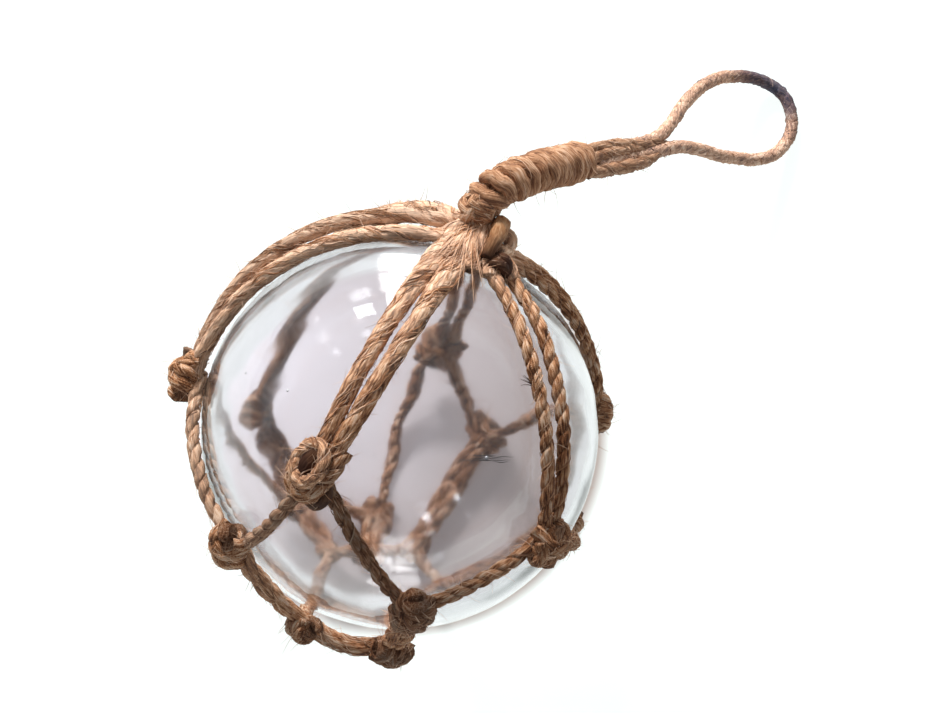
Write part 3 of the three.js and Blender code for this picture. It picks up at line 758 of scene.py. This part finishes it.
def makeCrown(look):
    strands = Strands(31)
    rolled = strands.random
    top = ballRadius + look["rise"]
    strands.twine([netAxis * (ballRadius + 1.6), netAxis * (top - 1.5), np.array(neck["knotCentre"])],
                  soilAndShade=0.35, hairs=0, loose=0, diameter=look["core"])
    for turn in range(look["gathered"]):  # gathered twines that rise from the glass to the ball knot
        around = 360 / look["gathered"] * turn + 20
        spots = [standing(around + on, latitude, height) for on, latitude, height in look["gatheredSpots"]]
        spots.append(netAxis * (top + 2.4))
        strands.twine(spots, soilAndShade=0.1, paleAndLit=netPaintedLight, hairs=1.5, wander=0.1, lay=10.0, loose=0.4)
    for around, width in look["front"]:  # flattened and frayed
        spots = [standing(around + on, latitude, height) for on, latitude, height in look["frontSpots"]]
        spots.append(netAxis * (top + 1.6))
        strands.twine(spots, soilAndShade=0.08, paleAndLit=0.3, hairs=2.2, wander=0.15, lay=26.0, loose=2.5,
                      flare=(width, 1.3, 1.0))
    # the small band knot is painted dark: partly its own dark twine, partly painted shade at its underside
    wrappedKnot(strands, KnotSeat(look["band"], netAxis), 0.8, rolled)
    strands.twine(look["lobe"], soilAndShade=0.05, paleAndLit=0.4, hairs=1.0, wander=0.03, diameter=3.2, lay=14.0)
    for _ in range(look["fan"]):  # frayed fibres laid over the front pair, up under the ball knot
        around, rise = rolled.uniform(*look["fanAround"]), rolled.uniform(*look["fanRise"])
        start = direction((around, rise)) * (ballRadius + 3.9 + rolled.uniform(-0.4, 0.3))
        middle = direction((around * 0.8 - 4, rise * 0.4 + 51))
        middle = middle * (ballRadius + 5.2 + rolled.uniform(-0.3, 0.6))
        end = direction((around * 2 - 30, 86)) * (ballRadius + rolled.uniform(5.5, 10))
        line, _ = smoothRoute([start, middle, end], 1.2)
        size = rolled.uniform(*look["fibre"]) * (0.3 + 0.7 * np.sin(np.linspace(0.1, 3.0, len(line))))
        strands.thread(line, size, 0.0, rolled.uniform(0.1, 0.9))
    strands.piece("crown_gather_cords", jute, "jute", "crown_gather")
    tab = Strands(32)
    # the tab is painted darker towards its end: partly its own colour, partly painted shade where it folds
    # down
    tab.twine(look["tab"], soilAndShade=lambda route: np.linspace(0.0, 0.9, len(route)) ** 1.5, hairs=0.4,
              wander=0.02, diameter=3.9, lay=60.0, loose=0, plies=1, flare=(1.15, 0.95, 0.6))
    tab.piece("crown_tab", ochreEnd, "jute")


def makeNeck(look):
    centre = np.array(look["knotCentre"])
    out = unit(centre)
    side = unit(np.cross(out, up))
    lift = np.cross(side, out)
    size = look["knotSize"] / 2 - 1.5
    knot = Strands(41)
    # the knot's core, seen only between the windings, is painted darker: painted shade between them
    knot.twine([centre - out * size * 0.8, centre, centre + out * size], soilAndShade=0.6, hairs=0, loose=0,
               diameter=look["knotCore"])
    perTurn = look["knotSpots"]
    windings = ((1.6, side, lift, out), (1.3, lift, out, side), (1.1, out, side, lift))
    for turns, first, second, third in windings:
        spots = []
        for step in range(int(turns * perTurn) + 1):
            angle = 2 * math.pi * step / perTurn + turns * 3
            drift = (step / perTurn / turns - 0.5) * look["knotDrift"]
            ring = first * math.cos(angle) + second * math.sin(angle)
            spots.append(centre + size * 1.06 * ring + third * drift)
        knot.twine(spots, soilAndShade=0.16, paleAndLit=0.08, wander=0.03, diameter=3.2, lay=13.0, loose=0.2)
    knot.piece("neck_ball_knot_cords", jute, "jute", "neck_ball_knot")

    line, marks = smoothRoute(look["route"], twine["step"])
    tangents, normals, binormals = carriedFrames(line)
    length, turns = marks[-1] * look["wrapped"], look["turns"]
    steps = turns * look["spotsPerTurn"]
    spots = []
    for step in range(steps + 1):
        t = step / steps
        index = int(np.searchsorted(marks, min(t * length, marks[-1] - twine["step"])))
        angle = 2 * math.pi * turns * t
        uneven = 1 + 0.035 * math.sin(angle * 0.37) - 0.12 * max(0, 0.12 - t) / 0.12
        reach = (look["radius"] - look["wrapSink"]) * uneven
        across = normals[index] * math.cos(angle) + binormals[index] * math.sin(angle)
        spots.append(line[index] + reach * across + tangents[index] * look["slant"] * math.cos(angle + 0.9))
    wraps = Strands(42)
    wraps.twine(spots, soilAndShade=0.12, paleAndLit=0.06, hairs=0.9, wander=0.05, diameter=look["wrap"], lay=30.0, plies=1)
    # the core, seen only between the turns, is painted darker: painted shade between the turns
    wraps.twine(look["route"], soilAndShade=0.5, hairs=0, loose=0, diameter=look["core"])
    for strand in look["bundle"]:
        wraps.twine(strand, soilAndShade=0.26, paleAndLit=0.1, hairs=0.5, diameter=3.5, lay=18.0, loose=1.0, wander=0.05,
                    flare=(0.8, 1.0, 0.4), snug=0.8)
    for offset in (-look["cordApart"], look["cordApart"]):  # the doubled cord that the turns hold
        spots = [line[index] + normals[index] * offset for index in range(len(line) - 14, len(line), 4)]
        wraps.twine(spots, soilAndShade=0.35, loose=0.6)
    wraps.piece("neck_wrapping_turns", wrapJute, "jute", "neck_wrapping")


makeCrown(crown)
makeNeck(neck)
print("crown and neck are wrapped")


glassBall = {
    "segments": 176, "wall": 3.0, "ripple": 0.12, "wave": 0.06, "fineRipple": 0.02,
    "tint": (0.86, 0.855, 0.88), "innerRoughness": 0.085, "innerShine": 0.12, "shine": 0.5, "refraction": 1.5,
    "bubble": {"at": (-7.1, -26.6, 40.0), "radius": 0.55}, "seeds": 16, "seedRadius": (0.12, 0.3),
    "streakHeading": 1.03, "streakRadius": 0.11, "streakSpots": 12,
    "streaks": ((-13, 15, 1.1), (-9, 11, 0.3), (-15, 6, -0.5), (-5, 9, -1.2), (-12, -3, 1.9))}


def plainFinish(name, colour, roughness, **others):
    finish = Finish(name)
    values = {"Base Color": (*colour, 1), "Roughness": roughness, **others}
    return finish.output(finish.node("ShaderNodeBsdfPrincipled", {}, values, "BSDF"))


def glassFinish(name, look, roughness, shine):
    return plainFinish(name, look["tint"], roughness, **{
        "IOR": look["refraction"], "Specular IOR Level": shine, "Transmission Weight": 1.0})


def makeGlassBall(look):
    segments = look["segments"]
    bpy.ops.mesh.primitive_uv_sphere_add(segments=segments, ring_count=segments // 2,
                                         radius=ballRadius / 1000, location=ballCentre)
    ball = bpy.context.object
    ball.name = "blown_glass_ball"
    bpy.ops.object.transform_apply(location=True, rotation=True, scale=True)
    bpy.ops.object.shade_smooth()
    wall = ball.modifiers.new("wall", "SOLIDIFY")
    wall.thickness, wall.offset, wall.material_offset = look["wall"] / 1000, -1, 1
    for name, roughness, shine in (("clear blown glass", 0.0, look["shine"]),
                                   ("inner glass skin", look["innerRoughness"], look["innerShine"])):
        ball.data.materials.append(glassFinish(name, look, roughness, shine))
    bpy.ops.object.modifier_apply(modifier=wall.name)
    for vertex in ball.data.vertices:  # blown glass is a little uneven, more so inside
        spot = (vertex.co - ballCentre) * 1000
        long = math.sin(spot.x * 0.11 + 1.3) * math.sin(spot.y * 0.13 + 0.4)
        long += math.sin(spot.z * 0.17 + spot.x * 0.05)
        short = math.sin(spot.x * 0.41 + spot.y * 0.12) * math.sin(spot.y * 0.37 - spot.z * 0.3 + 2.1)
        inside = spot.length < ballRadius - look["wall"] / 2
        push = look["ripple"] * long + look["fineRipple"] * short if inside else look["wave"] * short
        vertex.co += spot.normalized() * push / 1000
    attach(ball, "root")
    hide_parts("glass_ball")


def makeBubbles(look):
    rolled = random.Random(9)
    air = plainFinish("air in the glass", (0.75, 0.75, 0.78), 0.12, Metallic=0.6)
    deep = ballRadius - look["wall"] / 2
    bubble = look["bubble"]
    places = [(unit(np.array(bubble["at"])) * deep, bubble["radius"])]
    for _ in range(look["seeds"]):
        towards = unit(np.array([rolled.gauss(0, 1) for _ in range(3)]))
        places.append((towards * deep, rolled.uniform(*look["seedRadius"])))
    made = []
    for place, radius in places:
        bpy.ops.mesh.primitive_ico_sphere_add(subdivisions=2, radius=radius / 1000,
                                              location=tuple(toFrame(place)))
        made.append(bpy.context.object)
    bpy.ops.object.select_all(action="DESELECT")
    for item in made:
        item.select_set(True)
    bpy.context.view_layer.objects.active = made[0]
    bpy.ops.object.join()
    joined = bpy.context.object
    joined.name = "glass_bubbles"
    bpy.ops.object.transform_apply(location=True, rotation=True, scale=True)
    joined.data.materials.append(air)
    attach(joined, "root")


def makeStreaks(look):  # drawn out on either side of the one large bubble
    deep = ballRadius - look["wall"] / 2
    heading, spots = look["streakHeading"], look["streakSpots"]
    centre = unit(np.array(look["bubble"]["at"])) * deep
    out = unit(centre)
    ahead = unit(np.cross(out, np.array([math.sin(heading), math.cos(heading), 0.0])))
    rise = np.cross(out, ahead)
    streaks = Strands(77)
    for start, end, height in look["streaks"]:
        line = []
        for reach in np.linspace(start, end, spots):
            spot = centre + ahead * reach / 2 + rise * (height / 2 + 0.1 * math.sin(reach * 0.8 + height))
            line.append(unit(spot) * deep)
        size = look["streakRadius"] * np.sin(np.linspace(0.15, 3.0, spots))
        streaks.thread(np.array(line), size, 1.0, 0.0)
    streaks.piece("glass_streaks", plainFinish("drawn streak", (0.05, 0.045, 0.045), 0.4), "clear_glass")


makeGlassBall(glassBall)
makeBubbles(glassBall)
makeStreaks(glassBall)
print("glass is blown")


# The floor is white, but for a round patch hidden under the ball that stands for the dim room behind the
# glass: a painted shadow, with painted light bright at one corner and darker away from it.
studio = {
    "sky": 0.34, "skyColour": (0.97, 0.985, 1.0), "floorSize": 6, "floorLevel": -0.0002,
    "openFloor": (0.16, 0.17, 0.165), "openGlow": (0.90, 0.955, 0.94),
    "shadedFloor": (0.72, 0.70, 0.72), "dimFloor": (0.34, 0.30, 0.275),
    "shadedGlow": (0.52, 0.51, 0.535), "dimGlow": (0.17, 0.148, 0.137),
    "patch": (0.055, 0.058), "patchShift": 14.2, "paintedLightCorner": (-46, 30), "fadeWidth": 0.1,
    "key": {"from": (0.645, 0.571, 0.508), "distance": 2.0, "size": (0.36, 0.36), "power": 46.0},
    "lamp": {"from": (0.645, 0.571, 0.508), "distance": 2.0, "size": (0.33, 0.20), "power": 2.4},
    "glints": {"from": ((0.506, 0.527, 0.682), (0.246, 0.718, 0.652), (0.421, 0.880, 0.218)), "distance": 1.0,
               "sizes": (0.07, 0.06, 0.03), "radiance": 36.0},
    "window": {"from": (0.911, 0.351, 0.216), "distance": 0.95, "radiance": 10.0,
               "panes": ((-0.085, 0.24, 0.13, 0.20), (0.075, 0.22, 0.14, 0.24), (-0.075, 0.03, 0.15, 0.17),
                         (0.085, 0.00, 0.13, 0.16), (-0.05, -0.14, 0.17, 0.11))}}


def floorFinish(look):
    finish = Finish("pale floor")
    turn = math.radians(cameraLook["azimuth"])
    middle = toFrame((look["patchShift"] * math.sin(turn), look["patchShift"] * math.cos(turn), 0))
    right, ahead = (number / 1000 for number in look["paintedLightCorner"])
    corner = (middle[0] + right * math.cos(turn) + ahead * math.sin(turn),
              middle[1] - right * math.sin(turn) + ahead * math.cos(turn), 0)

    def distance(place):
        here = finish.node("ShaderNodeTexCoord", {}, {}, "Object")
        return finish.node("ShaderNodeVectorMath", {"operation": "DISTANCE"}, {0: here, 1: place}, "Value")

    # the patch is a painted shadow, with painted light that glows at one corner and fades away from it
    inner, outer = look["patch"]
    clear = ((distance((middle[0], middle[1], 0)) - inner) / (outer - inner)).clamped()
    fade = (distance(corner) / look["fadeWidth"]).clamped()

    def shaded(bright, dim, clearColour):
        patch = finish.mixed(fade, (*look[bright], 1), (*look[dim], 1))
        return finish.mixed(clear, patch, (*look[clearColour], 1))

    return finish.output(finish.node("ShaderNodeBsdfPrincipled", {}, {
        "Base Color": shaded("shadedFloor", "dimFloor", "openFloor"), "Roughness": 0.7,
        "Specular IOR Level": 0.2, "Emission Color": shaded("shadedGlow", "dimGlow", "openGlow"),
        "Emission Strength": 1.0}, "BSDF"))


def makeStudio(look, ball):
    bpy.ops.mesh.primitive_plane_add(size=look["floorSize"], location=(0, 0, look["floorLevel"]))
    floor = bpy.context.object
    floor.name = "pale_floor"
    floor.data.materials.append(floorFinish(look))
    world = bpy.data.worlds.new("soft room")
    bpy.context.scene.world = world
    world.use_nodes = True
    background = world.node_tree.nodes["Background"]
    background.inputs["Color"].default_value = (*look["skyColour"], 1)
    background.inputs["Strength"].default_value = look["sky"]
    letsLightThrough = bpy.data.collections.new("glass casts no shadow")  # light reaches what is behind it
    letsLightThrough.objects.link(ball)
    letsLightThrough.collection_objects[0].light_linking.link_state = "EXCLUDE"

    def panel(name, place, size, power, colour=(1, 1, 1), mirrored=True, through=False):
        bpy.ops.object.light_add(type="AREA", location=tuple(toFrame(place)))
        light = bpy.context.object
        light.name = name
        light.rotation_euler = Vector(-np.asarray(place)).to_track_quat("-Z", "Y").to_euler()
        light.data.shape = "RECTANGLE"
        light.data.size, light.data.size_y = size
        light.data.energy = power
        light.data.color = colour
        light.visible_camera = False
        light.visible_glossy, light.visible_transmission = mirrored, through
        light.light_linking.blocker_collection = letsLightThrough

    key, lamp, glints, window = look["key"], look["lamp"], look["glints"], look["window"]
    for name, light, colour, mirrored in (("key", key, (1, 1, 1), False),
                                          ("lamp", lamp, (0.93, 0.97, 1), True)):
        place = unit(np.array(light["from"])) * light["distance"] * 1000
        panel(name, place, light["size"], light["power"], colour, mirrored)
    for index, (towards, size) in enumerate(zip(glints["from"], glints["sizes"])):  # sparks from the back
        place = unit(np.array(towards)) * glints["distance"] * 1000
        power = math.pi * size * size * glints["radiance"]
        panel(f"glint_{index + 1}", place, (size, size), power, (0.95, 0.98, 1), mirrored=False, through=True)
    facing = unit(np.array(window["from"]))
    right = unit(np.cross(up, facing))
    lift = np.cross(facing, right)
    for index, (x, y, wide, tall) in enumerate(window["panes"]):
        place = (facing * window["distance"] - right * x + lift * y) * 1000
        power = math.pi * wide * tall * window["radiance"]
        panel(f"window_pane_{index + 1}", place, (wide, tall), power, (1, 0.99, 0.97))


makeStudio(studio, bpy.data.objects["blown_glass_ball"])
bpy.context.scene.view_settings.view_transform = "Standard"
print("studio is lit")

triangles = {item.name: sum(len(face.vertices) - 2 for face in item.data.polygons)
             for item in bpy.data.objects if item.type == "MESH"}
print(sum(triangles.values()), "triangles, at most", max(triangles.values()), "in one piece")
